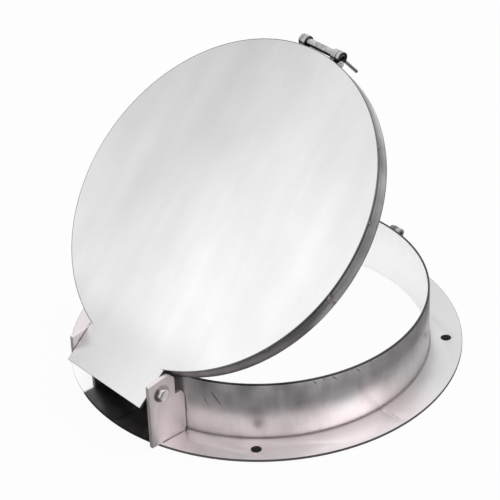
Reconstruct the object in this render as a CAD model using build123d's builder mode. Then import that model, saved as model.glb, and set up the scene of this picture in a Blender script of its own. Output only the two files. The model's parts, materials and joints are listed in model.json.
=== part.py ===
from build123d import *
import os
from math import cos, radians, sin, sqrt

os.makedirs("parts", exist_ok=True)

# Hinged manway cover: a welded neck on a bolting flange, a lid with a turned-down skirt,
# a hinge under the lid's tongue and, on the far side, a cam bar with a swing hook.
# Millimetres, +Z up. The origin is the centre of the flange's underside. The hinge axis
# runs along X on the -Y side and the latch is on the +Y side.

# Neck and base flange
neck_diameter = 500.0          # outside
neck_wall = 3.0
neck_height = 100.0            # rim above the flange's underside
flange_width = 50.0            # beyond the neck
flange_thickness = 4.0
flange_seams = 4               # the flange is welded up from this many segments
bolt_hole = 16.0
bolt_count = 4
root_gap = 0.4                 # butt joints are left this open before welding
weld_fit = 0.3                 # a plate's edge off the wall that it is welded to
seam_width = 6.0
seam_height = 1.0
seam_crown = 0.6               # chamfer round the top of a flange seam
neck_seam_angle = 120.0        # where the rolled neck is closed
foot_weld_leg = 3.0            # fillet between the neck and the flange

# Lid
lid_sheet = 3.0
lid_overhang = 11.0            # lid edge beyond the neck's outside
tongue_width = 165.0
tongue_reach = 34.5            # tongue end beyond the hinge axis
skirt_wall = 3.0
skirt_depth = 25.0
skirt_setback = 1.0            # lid edge beyond the skirt's outside
skirt_seam_angle = -9.0
tack_count = 14
tack_start = -34.0
tack_radius = 2.2
gasket_thickness = 3.2
gasket_side_gap = 1.0          # between the gasket and the skirt
gasket_inset = 7.0             # gasket's inner edge inside the neck's outside
retainer_wall = 3.0
retainer_depth = 6.0
eye_angle = 79.0               # small eye on the skirt, beside the latch
eye_reach = 4.0                # its hole beyond the skirt
eye_radius = 4.5
eye_hole = 3.2
eye_thickness = 2.5
eye_drop = 2.0                 # below the lid's underside
seal_gap = 0.3                 # between the gasket and the rim, lid shut
lid_opening = 41.3             # degrees from shut, as the part stands

# Hinge
hinge_reach = 27.0             # hinge axis beyond the neck's outside
hinge_bolt = 12.0
hinge_bolt_clearance = 0.1     # on the diameter
hinge_tube = 25.0
hinge_tube_wall = 2.5
hinge_bush_length = 20.0
tube_end_gap = 0.6             # between the tube and an ear
ear_side_gap = 1.0             # between the tongue and an ear
ear_thickness = 6.0
ear_front = 23.5               # ear's front edge beyond the hinge axis
ear_back = 24.5                # upper ear's back edge inside the hinge axis
ear_front_rise = 20.5          # ear's top above the hinge axis, at its front edge
ear_back_rise = 26.0           # and at its back edge
ear_corner_run = 10.0          # the top back corner is cut so that the skirt swings past it
ear_corner_drop = 10.5
ear_step_drop = 23.0           # the ear widens to the neck this far below the rim
ear_step_run = 5.0             # slope at the step's outer end
ear_step_fall = 9.0
ear_corner = 5.0
ear_weld_leg = 4.0
ear_weld_margin = 3.0
hex_across_flats = 18.0
bolt_head_height = 7.5
nut_height = 10.0
hex_chamfer = 0.8
washer_diameter = 24.0
washer_thickness = 2.5
bolt_tail = 3.0                # bolt past its nut
bolt_point = 1.0               # chamfer on the bolt's end
tube_weld_near = 3.5           # the beads on the tube, off its centre line: inner edge,
tube_weld_far = 10.5           # outer edge on the sheet
tube_weld_low = 8.0            # and foot on the tube

# Latch: a cam bar in two bosses on the lid
bar_outset = 7.7               # bar axis beyond the lid's edge
bar_drop = 10.4                # bar axis below the lid's upper face
journal_diameter = 10.0
journal_clearance = 0.1        # on the diameter
cam_diameter = 12.0
cam_throw = 1.5                # cam's centre off the bar's axis
cam_left = -27.5
cam_right = 26.0
side_play = 0.3
boss_radius = 9.3
boss_width_left = 8.4
boss_width_right = 9.7
saddle_height = 12.0
collar_radius = 8.8
collar_width = 6.0
collar_chamfer = 1.6
collar_screw = 3.0             # grub screw that holds the collar on the bar
screw_sunk = 0.4               # below the collar's surface
screw_socket = 1.5
bar_end_bore = 5.5             # drilled into the bar's right end
bar_end_depth = 5.0
hub_width = 7.2
lever_diameter = 5.0
lever_length = 43.0            # from the bar's axis to the lever's tip
lever_round = 2.0              # at the lever's tip

# Swing hook on the neck
hook_outset = 9.6              # pivot beyond the bar's axis, lid shut
hook_drop = 26.3               # and below it
hook_thickness = 8.0
hook_eye_radius = 8.0
hook_wrap = 6.2                # metal outside the mouth
hook_clearance = 0.3           # round the cam, hook up
hook_mouth_start = -35.0
hook_mouth_end = 110.0
hook_outer_start = 5.0
hook_swing = 186.0             # degrees from hanging to up over the cam
hook_pin = 8.0
hook_pin_bore = 5.0
hook_pin_clearance = 0.1       # on the diameter
hook_side_gap = 0.5
lug_thickness = 8.4
lug_radius = 8.0
lug_depth = 26.0               # along the neck, down from the pivot's height
lug_weld_leg = 3.0
pin_proud = 0.5
pin_collar_radius = 7.0
pin_collar_width = 4.0
pin_collar_chamfer = 0.8

# Derived places
neck_radius = neck_diameter / 2
neck_bore = neck_radius - neck_wall
flange_radius = neck_radius + flange_width
bolt_circle = neck_diameter + flange_width
lid_radius = neck_radius + lid_overhang
skirt_radius = lid_radius - skirt_setback
skirt_bore = skirt_radius - skirt_wall
gasket_bore = neck_radius - gasket_inset
lid_underside = neck_height + seal_gap + gasket_thickness
hinge_y = -(neck_radius + hinge_reach)
hinge_z = lid_underside - hinge_tube / 2
ear_inside = tongue_width / 2 + ear_side_gap
ear_outside = ear_inside + ear_thickness
bar_y = lid_radius + bar_outset
bar_z = lid_underside + lid_sheet - bar_drop
hook_y = bar_y + hook_outset
hook_height = bar_z - hook_drop
lug_foot = hook_height - lug_depth
ear_step_height = neck_height - ear_step_drop
ear_top_front = hinge_z + ear_front_rise
ear_top_back = hinge_z + ear_back_rise


def neck_face_y(x):
    """Distance of the neck's outer wall from the XZ plane, at x."""
    return sqrt(neck_radius ** 2 - x ** 2)


def lid_point(x, y, z):
    """Where a point of the shut lid lies at the lid's opening angle."""
    out, up = y - hinge_y, z - hinge_z
    c, s = cos(radians(lid_opening)), sin(radians(lid_opening))
    return (x, hinge_y + out * c - up * s, hinge_z + out * s + up * c)


def lid_plane(z):
    """Plane along the lid, at the height z that it has when the lid is shut."""
    return Plane(origin=lid_point(0, 0, z), x_dir=(1, 0, 0),
                 z_dir=(0, -sin(radians(lid_opening)), cos(radians(lid_opening))))


def lid_section(x, y, z):
    """Plane across the lid, facing +X, with its origin at a point of the shut lid."""
    return Plane(origin=lid_point(x, y, z), z_dir=(1, 0, 0),
                 x_dir=(0, cos(radians(lid_opening)), sin(radians(lid_opening))))


def hook_section(x):
    """Plane across the hanging hook, with the axes that the hook has when it is up."""
    return Plane(origin=(x, hook_y, hook_height), z_dir=(1, 0, 0),
                 x_dir=(0, cos(radians(hook_swing)), -sin(radians(hook_swing))))


def keep(part, name):
    part.label = name
    export_step(part, f"parts/{name}.step")


# ---------------------------------------------------------------- base flange
with BuildPart() as flange_segments:
    with BuildSketch():
        Circle(flange_radius)
        Circle(neck_bore, mode=Mode.SUBTRACT)
        with PolarLocations(bolt_circle / 2, bolt_count, start_angle=45):
            Circle(bolt_hole / 2, mode=Mode.SUBTRACT)
        with PolarLocations(0, flange_seams):
            Rectangle(2 * flange_radius, root_gap, align=(Align.MIN, Align.CENTER), mode=Mode.SUBTRACT)
    extrude(amount=flange_thickness)
keep(flange_segments.part, "flange_segments")

seam_start = neck_radius + foot_weld_leg + 1
seam_length = flange_radius - 1 - seam_start
with BuildPart() as flange_seam_welds:
    with BuildSketch(Plane.XY.offset(flange_thickness)):
        with PolarLocations(seam_start + seam_length / 2, flange_seams):
            SlotOverall(seam_length, seam_width)
    extrude(amount=seam_height)
    chamfer(flange_seam_welds.faces().filter_by(Axis.Z).group_by(Axis.Z)[-1].edges(), seam_crown)
keep(flange_seam_welds.part, "flange_seam_welds")

# ---------------------------------------------------------------- neck
with BuildPart() as neck_shell:
    with BuildSketch(Plane.XY.offset(flange_thickness)):
        Circle(neck_radius)
        Circle(neck_bore, mode=Mode.SUBTRACT)
        with PolarLocations(neck_bore, 1, start_angle=neck_seam_angle):
            Rectangle(4 * neck_wall, root_gap, mode=Mode.SUBTRACT)
    extrude(amount=neck_height - flange_thickness)
keep(neck_shell.part, "neck_shell")

with BuildPart() as neck_seam_weld:
    with BuildSketch(Plane.XY.offset(flange_thickness + foot_weld_leg)):
        with PolarLocations(neck_radius, 1, start_angle=neck_seam_angle):
            Ellipse(seam_height, seam_width / 2)
        Circle(neck_radius, mode=Mode.SUBTRACT)
    extrude(amount=neck_height - flange_thickness - foot_weld_leg - 1)
keep(neck_seam_weld.part, "neck_seam_weld")

with BuildPart() as foot_weld:
    with BuildSketch(Plane.XZ):
        with BuildLine():
            Polyline((neck_radius, flange_thickness),
                     (neck_radius + foot_weld_leg, flange_thickness),
                     (neck_radius, flange_thickness + foot_weld_leg), close=True)
        make_face()
    revolve(axis=Axis.Z)
keep(foot_weld.part, "foot_weld")

# ---------------------------------------------------------------- hinge ears
ear_foot_back = -(neck_face_y(ear_inside) + weld_fit)
ear_cope = foot_weld_leg + 1.5
with BuildPart() as right_ear:
    with BuildSketch(Plane.YZ.offset(ear_inside)):
        with BuildLine():
            Polyline((hinge_y - ear_front, flange_thickness),
                     (ear_foot_back - ear_cope, flange_thickness),
                     (ear_foot_back, flange_thickness + ear_cope),
                     (ear_foot_back, ear_step_height - ear_step_fall),
                     (ear_foot_back - ear_step_run, ear_step_height),
                     (hinge_y + ear_back, ear_step_height),
                     (hinge_y + ear_back, ear_top_back - ear_corner_drop),
                     (hinge_y + ear_back - ear_corner_run, ear_top_back),
                     (hinge_y - ear_front, ear_top_front), close=True)
        make_face()
        with Locations((hinge_y, hinge_z)):
            Circle((hinge_bolt + hinge_bolt_clearance) / 2, mode=Mode.SUBTRACT)
    extrude(amount=ear_thickness)
    corner_edges = right_ear.edges().filter_by(Axis.X).sort_by(Axis.Z)
    fillet([e for e in corner_edges[-3:] if e.center().Y > hinge_y], ear_corner)
keep(right_ear.part, "right_ear")

with BuildPart() as left_ear:
    mirror(right_ear.part, about=Plane.YZ)
keep(left_ear.part, "left_ear")

foot_end = -(sqrt(flange_radius ** 2 - (ear_outside + ear_weld_leg) ** 2) - ear_weld_margin)
foot_start = ear_foot_back - ear_cope - 1
with BuildPart() as ear_welds:
    for face, side in ((ear_outside, 1), (ear_inside, -1)):
        with BuildSketch(Plane.XZ.offset(-foot_start)):
            with BuildLine():
                Polyline((face, flange_thickness), (face + side * ear_weld_leg, flange_thickness),
                         (face, flange_thickness + ear_weld_leg), close=True)
            make_face()
        extrude(amount=foot_start - foot_end)
    with BuildSketch(Plane.XY.offset(flange_thickness + ear_cope + 1)):
        with BuildLine():
            Polyline((ear_outside, ear_foot_back - ear_weld_leg), (ear_outside, ear_foot_back + 2 * neck_wall),
                     (ear_outside + ear_weld_leg + 1, ear_foot_back + 2 * neck_wall), close=True)
        make_face()
        Circle(neck_radius, mode=Mode.SUBTRACT)
    extrude(amount=ear_step_height - ear_step_fall - flange_thickness - ear_cope - 3)
    mirror(about=Plane.YZ)
keep(ear_welds.part, "ear_welds")

# ---------------------------------------------------------------- hinge bolt
nut_face = -(ear_outside + washer_thickness + nut_height)
with BuildPart() as hinge_bolt_part:
    with BuildSketch(Plane.YZ.offset(ear_outside)):
        with Locations((hinge_y, hinge_z)):
            RegularPolygon(hex_across_flats / 2, 6, major_radius=False)
    extrude(amount=bolt_head_height)
    chamfer(hinge_bolt_part.faces().sort_by(Axis.X)[-1].edges(), hex_chamfer)
    with BuildSketch(Plane.YZ.offset(nut_face - bolt_tail)):
        with Locations((hinge_y, hinge_z)):
            Circle(hinge_bolt / 2)
    extrude(amount=ear_outside - nut_face + bolt_tail)
    chamfer(hinge_bolt_part.faces().sort_by(Axis.X)[0].edges(), bolt_point)
keep(hinge_bolt_part.part, "hinge_bolt")

with BuildPart() as hinge_washer:
    with BuildSketch(Plane.YZ.offset(-ear_outside - washer_thickness)):
        with Locations((hinge_y, hinge_z)):
            Circle(washer_diameter / 2)
            Circle(hinge_bolt / 2 + 0.5, mode=Mode.SUBTRACT)
    extrude(amount=washer_thickness)
keep(hinge_washer.part, "hinge_washer")

with BuildPart() as hinge_nut:
    with BuildSketch(Plane.YZ.offset(nut_face)):
        with Locations((hinge_y, hinge_z)):
            RegularPolygon(hex_across_flats / 2, 6, major_radius=False)
            Circle((hinge_bolt + hinge_bolt_clearance) / 2, mode=Mode.SUBTRACT)
    extrude(amount=nut_height)
    chamfer(hinge_nut.faces().sort_by(Axis.X)[0].outer_wire().edges(), hex_chamfer)
keep(hinge_nut.part, "hinge_nut")

# ---------------------------------------------------------------- hook lug and pin on the neck
lug_left = hook_thickness / 2 + hook_side_gap
lug_right = lug_left + lug_thickness
lug_back = neck_radius + weld_fit
with BuildPart() as hook_lug:
    with BuildSketch(Plane.YZ.offset(lug_left)):
        with BuildLine():
            Polyline((lug_back, lug_foot), (hook_y, hook_height - lug_radius),
                     (hook_y, hook_height + lug_radius), (lug_back, hook_height), close=True)
        make_face()
        with Locations((hook_y, hook_height)):
            Circle(lug_radius)
            Circle(hook_pin / 2, mode=Mode.SUBTRACT)
    extrude(amount=lug_thickness)
keep(hook_lug.part, "hook_lug")

with BuildPart() as hook_lug_weld:
    with BuildSketch(Plane.XY.offset(lug_foot + 1)):
        for face, side in ((lug_left, -1), (lug_right, 1)):
            with BuildLine():
                Polyline((face, neck_radius - neck_wall / 2), (face, lug_back + lug_weld_leg),
                         (face + side * lug_weld_leg, neck_radius - neck_wall / 2), close=True)
            make_face()
        Circle(neck_radius, mode=Mode.SUBTRACT)
    extrude(amount=lug_depth - 4)
keep(hook_lug_weld.part, "hook_lug_weld")

with BuildPart() as hook_pin_part:
    with BuildSketch(Plane.YZ.offset(-hook_thickness / 2 - hook_side_gap - pin_collar_width)):
        with Locations((hook_y, hook_height)):
            Circle(hook_pin / 2)
            Circle(hook_pin_bore / 2, mode=Mode.SUBTRACT)
    extrude(amount=hook_thickness / 2 + hook_side_gap + pin_collar_width + lug_right + pin_proud)
keep(hook_pin_part.part, "hook_pin")

with BuildPart() as hook_pin_collar:
    with BuildSketch(Plane.YZ.offset(-hook_thickness / 2 - hook_side_gap - pin_collar_width)):
        with Locations((hook_y, hook_height)):
            Circle(pin_collar_radius)
            Circle(hook_pin / 2, mode=Mode.SUBTRACT)
    extrude(amount=pin_collar_width)
    chamfer(hook_pin_collar.faces().sort_by(Axis.X)[0].outer_wire().edges(), pin_collar_chamfer)
keep(hook_pin_collar.part, "hook_pin_collar")

# ---------------------------------------------------------------- swing hook
# Drawn as it stands when it is up over the cam, then turned to where it hangs.
mouth_radius = cam_diameter / 2 + hook_clearance
outer_radius = mouth_radius + hook_wrap
cam_up = Vector(bar_y - hook_y, bar_z + cam_throw - hook_height)
cam_down = cam_up - Vector(0, 2 * cam_throw)


def around(centre, radius, angle):
    return (centre.X + radius * cos(radians(angle)), centre.Y + radius * sin(radians(angle)))


with BuildPart() as swing_hook:
    with BuildSketch(hook_section(-hook_thickness / 2)):
        with BuildLine():
            Line((-hook_eye_radius, 0), around(cam_down, mouth_radius, hook_mouth_start))
            ThreePointArc(around(cam_down, mouth_radius, hook_mouth_start),
                          around(cam_down, mouth_radius, hook_mouth_start / 2),
                          around(cam_down, mouth_radius, 0))
            Line(around(cam_down, mouth_radius, 0), around(cam_up, mouth_radius, 0))
            ThreePointArc(around(cam_up, mouth_radius, 0),
                          around(cam_up, mouth_radius, hook_mouth_end / 2),
                          around(cam_up, mouth_radius, hook_mouth_end))
            Line(around(cam_up, mouth_radius, hook_mouth_end), around(cam_up, outer_radius, hook_mouth_end))
            ThreePointArc(around(cam_up, outer_radius, hook_mouth_end),
                          around(cam_up, outer_radius, (hook_mouth_end + hook_outer_start) / 2),
                          around(cam_up, outer_radius, hook_outer_start))
            Line(around(cam_up, outer_radius, hook_outer_start), (hook_eye_radius, 0))
            ThreePointArc((hook_eye_radius, 0), (0, -hook_eye_radius), (-hook_eye_radius, 0))
        make_face()
        Circle((hook_pin + hook_pin_clearance) / 2, mode=Mode.SUBTRACT)
    extrude(amount=hook_thickness)
keep(swing_hook.part, "swing_hook")

# ---------------------------------------------------------------- lid sheet and skirt
with BuildPart() as lid_plate:
    with BuildSketch(lid_plane(lid_underside)):
        Circle(lid_radius)
        with Locations((0, hinge_y - tongue_reach)):
            Rectangle(tongue_width, lid_radius, align=(Align.CENTER, Align.MIN))
    extrude(amount=lid_sheet)
keep(lid_plate.part, "lid_plate")

with BuildPart() as lid_skirt:
    with BuildSketch(lid_plane(lid_underside - skirt_depth)):
        Circle(skirt_radius)
        Circle(skirt_bore, mode=Mode.SUBTRACT)
        with PolarLocations(skirt_bore, 1, start_angle=skirt_seam_angle):
            Rectangle(4 * skirt_wall, root_gap, mode=Mode.SUBTRACT)
    extrude(amount=skirt_depth)
keep(lid_skirt.part, "lid_skirt")

with BuildPart() as skirt_tacks:
    with BuildSketch(lid_plane(lid_underside - tack_radius)):
        with PolarLocations(skirt_radius, tack_count, start_angle=tack_start):
            Circle(tack_radius)
        Circle(skirt_radius, mode=Mode.SUBTRACT)
    extrude(amount=tack_radius)
keep(skirt_tacks.part, "skirt_tacks")

with BuildPart() as seal_eye:
    with BuildSketch(lid_plane(lid_underside - eye_drop - eye_thickness)):
        with PolarLocations(skirt_radius + eye_reach, 1, start_angle=eye_angle):
            Circle(eye_radius)
            Rectangle(2 * eye_reach, 2 * eye_radius, align=(Align.MAX, Align.CENTER))
            Circle(eye_hole / 2, mode=Mode.SUBTRACT)
        Circle(skirt_radius, mode=Mode.SUBTRACT)
    extrude(amount=eye_thickness)
keep(seal_eye.part, "seal_eye")

with BuildPart() as lid_gasket:
    with BuildSketch(lid_plane(lid_underside - gasket_thickness)):
        Circle(skirt_bore - gasket_side_gap)
        Circle(gasket_bore, mode=Mode.SUBTRACT)
    extrude(amount=gasket_thickness)
keep(lid_gasket.part, "lid_gasket")

with BuildPart() as gasket_retainer:
    with BuildSketch(lid_plane(lid_underside - retainer_depth)):
        Circle(gasket_bore)
        Circle(gasket_bore - retainer_wall, mode=Mode.SUBTRACT)
    extrude(amount=retainer_depth)
keep(gasket_retainer.part, "gasket_retainer")

# ---------------------------------------------------------------- hinge tube under the tongue
tube_half = ear_inside - tube_end_gap
tube_bore = hinge_tube - 2 * hinge_tube_wall
with BuildPart() as hinge_tube_part:
    with BuildSketch(lid_section(-tube_half, hinge_y, hinge_z)):
        Circle(hinge_tube / 2)
        Circle(tube_bore / 2, mode=Mode.SUBTRACT)
    extrude(amount=2 * tube_half)
keep(hinge_tube_part.part, "hinge_tube")

with BuildPart() as hinge_tube_welds:
    with BuildSketch(lid_section(-tube_half + ear_weld_margin, hinge_y, hinge_z)):
        with BuildLine():
            Polyline((tube_weld_near, hinge_tube / 2), (tube_weld_far, hinge_tube / 2),
                     (tube_weld_low, sqrt(hinge_tube ** 2 / 4 - tube_weld_low ** 2)), close=True)
        make_face()
        mirror(about=Plane.YZ)
        Circle(hinge_tube / 2, mode=Mode.SUBTRACT)
    extrude(amount=2 * (tube_half - ear_weld_margin))
keep(hinge_tube_welds.part, "hinge_tube_welds")

with BuildPart() as hinge_bushes:
    for start in (-tube_half, tube_half - hinge_bush_length):
        with BuildSketch(lid_section(start, hinge_y, hinge_z)):
            Circle(tube_bore / 2)
            Circle((hinge_bolt + hinge_bolt_clearance) / 2, mode=Mode.SUBTRACT)
        extrude(amount=hinge_bush_length)
keep(hinge_bushes.part, "hinge_bushes")

# ---------------------------------------------------------------- latch bosses on the lid's edge
boss_starts = {"latch_boss_left": (cam_left - side_play - boss_width_left, boss_width_left),
               "latch_boss_right": (cam_right + side_play, boss_width_right)}
for name, (start, width) in boss_starts.items():
    with BuildPart() as latch_boss:
        with BuildSketch(lid_section(start, bar_y, bar_z)):
            Circle(boss_radius)
            Rectangle(2 * bar_outset, saddle_height, align=(Align.MAX, Align.CENTER))
        extrude(amount=width)
        with BuildSketch(lid_plane(lid_underside - skirt_depth)):
            Circle(skirt_radius)
        extrude(amount=2 * skirt_depth, mode=Mode.SUBTRACT)
        with BuildSketch(lid_section(start, bar_y, bar_z)):
            Circle((journal_diameter + journal_clearance) / 2)
        extrude(amount=width, mode=Mode.SUBTRACT)
    keep(latch_boss.part, name)

# ---------------------------------------------------------------- cam bar
bar_left = cam_left - 2 * side_play - boss_width_left - collar_width
hub_left = cam_right + 2 * side_play + boss_width_right
bar_right = hub_left + hub_width
with BuildPart() as cam_bar:
    with BuildSketch(lid_section(bar_left, bar_y, bar_z)):
        Circle(journal_diameter / 2)
    extrude(amount=bar_right - bar_left)
    with BuildSketch(lid_section(cam_left, bar_y, bar_z)):
        with Locations((0, cam_throw)):
            Circle(cam_diameter / 2)
    extrude(amount=cam_right - cam_left)
    with BuildSketch(lid_section(bar_right, bar_y, bar_z)):
        Circle(bar_end_bore / 2)
    extrude(amount=-bar_end_depth, mode=Mode.SUBTRACT)
keep(cam_bar.part, "cam_bar")

screw_x = bar_left + (collar_width + collar_chamfer) / 2
with BuildPart() as bar_collar:
    with BuildSketch(lid_section(bar_left, bar_y, bar_z)):
        Circle(collar_radius)
        Circle(journal_diameter / 2, mode=Mode.SUBTRACT)
    extrude(amount=collar_width)
    chamfer(bar_collar.faces().sort_by(Axis.X)[0].outer_wire().edges(), collar_chamfer)
    with BuildSketch(lid_plane(bar_z)):
        with Locations((screw_x, bar_y)):
            Circle(collar_screw / 2)
    extrude(amount=collar_radius, mode=Mode.SUBTRACT)
keep(bar_collar.part, "bar_collar")

with BuildPart() as grub_screw:
    with BuildSketch(lid_plane(bar_z + journal_diameter / 2)):
        with Locations((screw_x, bar_y)):
            Circle(collar_screw / 2)
    extrude(amount=collar_radius - journal_diameter / 2 - screw_sunk)
    with BuildSketch(lid_plane(bar_z + collar_radius - screw_sunk)):
        with Locations((screw_x, bar_y)):
            RegularPolygon(screw_socket / 2, 6, major_radius=False)
    extrude(amount=-screw_socket, mode=Mode.SUBTRACT)
keep(grub_screw.part, "collar_screw")

lever_x = hub_left + hub_width / 2
with BuildPart() as lever_hub:
    with BuildSketch(lid_section(hub_left, bar_y, bar_z)):
        Circle(boss_radius)
        Circle(journal_diameter / 2, mode=Mode.SUBTRACT)
    extrude(amount=hub_width)
    with BuildSketch(lid_plane(bar_z)):
        with Locations((lever_x, bar_y)):
            Circle(lever_diameter / 2)
    extrude(amount=-lever_length, mode=Mode.SUBTRACT)
keep(lever_hub.part, "lever_hub")

with BuildPart() as bar_lever:
    with BuildSketch(lid_plane(bar_z - journal_diameter / 2)):
        with Locations((lever_x, bar_y)):
            Circle(lever_diameter / 2)
    extrude(amount=journal_diameter / 2 - lever_length)
    fillet(bar_lever.faces().sort_by(Axis.Z)[0].edges(), lever_round)
keep(bar_lever.part, "bar_lever")
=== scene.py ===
import json
import math
import bpy
import bmesh
from mathutils import Matrix, Vector, noise

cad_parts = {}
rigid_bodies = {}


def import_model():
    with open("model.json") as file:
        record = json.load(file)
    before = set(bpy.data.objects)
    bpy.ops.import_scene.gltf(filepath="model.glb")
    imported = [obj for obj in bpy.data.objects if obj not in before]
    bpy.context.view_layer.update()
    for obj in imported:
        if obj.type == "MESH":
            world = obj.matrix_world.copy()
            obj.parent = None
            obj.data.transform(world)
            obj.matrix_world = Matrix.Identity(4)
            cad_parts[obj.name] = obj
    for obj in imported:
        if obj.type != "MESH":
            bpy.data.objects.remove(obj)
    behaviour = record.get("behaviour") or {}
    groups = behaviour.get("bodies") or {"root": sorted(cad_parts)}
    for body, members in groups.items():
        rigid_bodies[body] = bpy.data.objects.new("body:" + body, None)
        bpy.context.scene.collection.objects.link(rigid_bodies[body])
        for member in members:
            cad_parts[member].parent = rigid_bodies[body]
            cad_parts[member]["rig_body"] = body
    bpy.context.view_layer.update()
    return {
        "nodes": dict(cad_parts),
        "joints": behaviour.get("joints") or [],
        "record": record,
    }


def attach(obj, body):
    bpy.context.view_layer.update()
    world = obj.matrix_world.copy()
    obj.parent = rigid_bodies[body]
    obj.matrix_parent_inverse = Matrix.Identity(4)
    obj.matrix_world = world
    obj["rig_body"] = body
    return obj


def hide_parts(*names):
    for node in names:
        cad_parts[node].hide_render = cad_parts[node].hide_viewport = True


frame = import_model()
nodes = frame["nodes"]
slotOf = {part["node"]: part["material_slot"] for part in frame["record"]["subparts"]}
print("frame loaded:", len(nodes), "nodes")

mm = 0.001
joints = {joint["name"]: joint for joint in frame["joints"]}
hingePoint = Vector(joints["lid_hinge"]["pos_m"])
camPoint = Vector(joints["cam_turn"]["pos_m"])
lidOpening = -math.radians(joints["lid_hinge"]["range_deg"][0])
lidTurn = (Matrix.Translation(hingePoint) @ Matrix.Rotation(lidOpening, 4, "X")
           @ Matrix.Translation(-hingePoint))  # takes the shut lid to where it stands



def reach(name, axis, place=Matrix()):
    # least and greatest x, y or z of a node, after the matrix
    values = [getattr(place @ corner.co, axis) for corner in nodes[name].data.vertices]
    return min(values), max(values)


def radiusOf(name, place=Matrix()):
    return max((place @ corner.co).xy.length for corner in nodes[name].data.vertices)


def off(base, *steps):
    # places measured from a shared size, in millimetres
    return [base + step * mm for step in steps]


# sizes that several pieces share, metres and degrees, lid shut
shut = lidTurn.inverted()
sheet = {
    "flangeTop": reach("flange_segments", "z")[1],
    "flangeRadius": radiusOf("flange_segments"),
    "neckTop": reach("neck_shell", "z")[1],
    "neckRadius": radiusOf("neck_shell"),
    "neckSeam": 120,
    "skirtRadius": radiusOf("lid_skirt", shut),
    "skirtFoot": reach("lid_skirt", "z", shut)[0],
    "skirtSeam": -9,
    "lidUnderside": reach("lid_plate", "z", shut)[0],
    "lidFront": reach("lid_plate", "y", shut)[0],
    "lidBack": reach("lid_plate", "y", shut)[1],
    "earInside": reach("right_ear", "x")[0],
    "earOutside": reach("right_ear", "x")[1],
    "earFront": reach("right_ear", "y")[0],
    "tackCount": 14,
    "tackStart": -34,
}
print("sizes, mm:", {key: round(value / mm, 3) for key, value in sheet.items() if abs(value) < 1})


class Wire:
    # one output socket; sums on it add Math nodes

    def __init__(self, graph, socket):
        self.graph = graph
        self.socket = socket

    def math(self, operation, *others):
        values = dict(enumerate((self,) + others))
        return self.graph.add("ShaderNodeMath", {"operation": operation}, values)

    def __add__(self, other):
        return self.math("ADD", other)

    def __sub__(self, other):
        return self.math("SUBTRACT", other)

    def __rsub__(self, other):
        return self.math("MULTIPLY_ADD", -1.0, other)

    def __mul__(self, other):
        return self.math("MULTIPLY", other)

    def __truediv__(self, other):
        return self.math("DIVIDE", other)

    __radd__ = __add__
    __rmul__ = __mul__


class Graph:
    # the nodes of one tree

    def __init__(self, tree):
        self.tree = tree

    def add(self, kind, settings=None, values=None, output=0):
        node = self.tree.nodes.new(kind)
        for key, value in (settings or {}).items():
            if key == "stops":
                ends = node.color_ramp.elements
                ends[0].position, ends[0].color = value[0]
                ends[1].position, ends[1].color = value[-1]
                for position, colour in value[1:-1]:
                    ends.new(position).color = colour
            else:
                setattr(node, key, value)
        for key, value in (values or {}).items():
            self.feed(node.inputs[key], value)
        return Wire(self, node.outputs[output])

    def feed(self, socket, value):
        if isinstance(value, Wire):
            self.tree.links.new(value.socket, socket)
        else:
            socket.default_value = value


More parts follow.
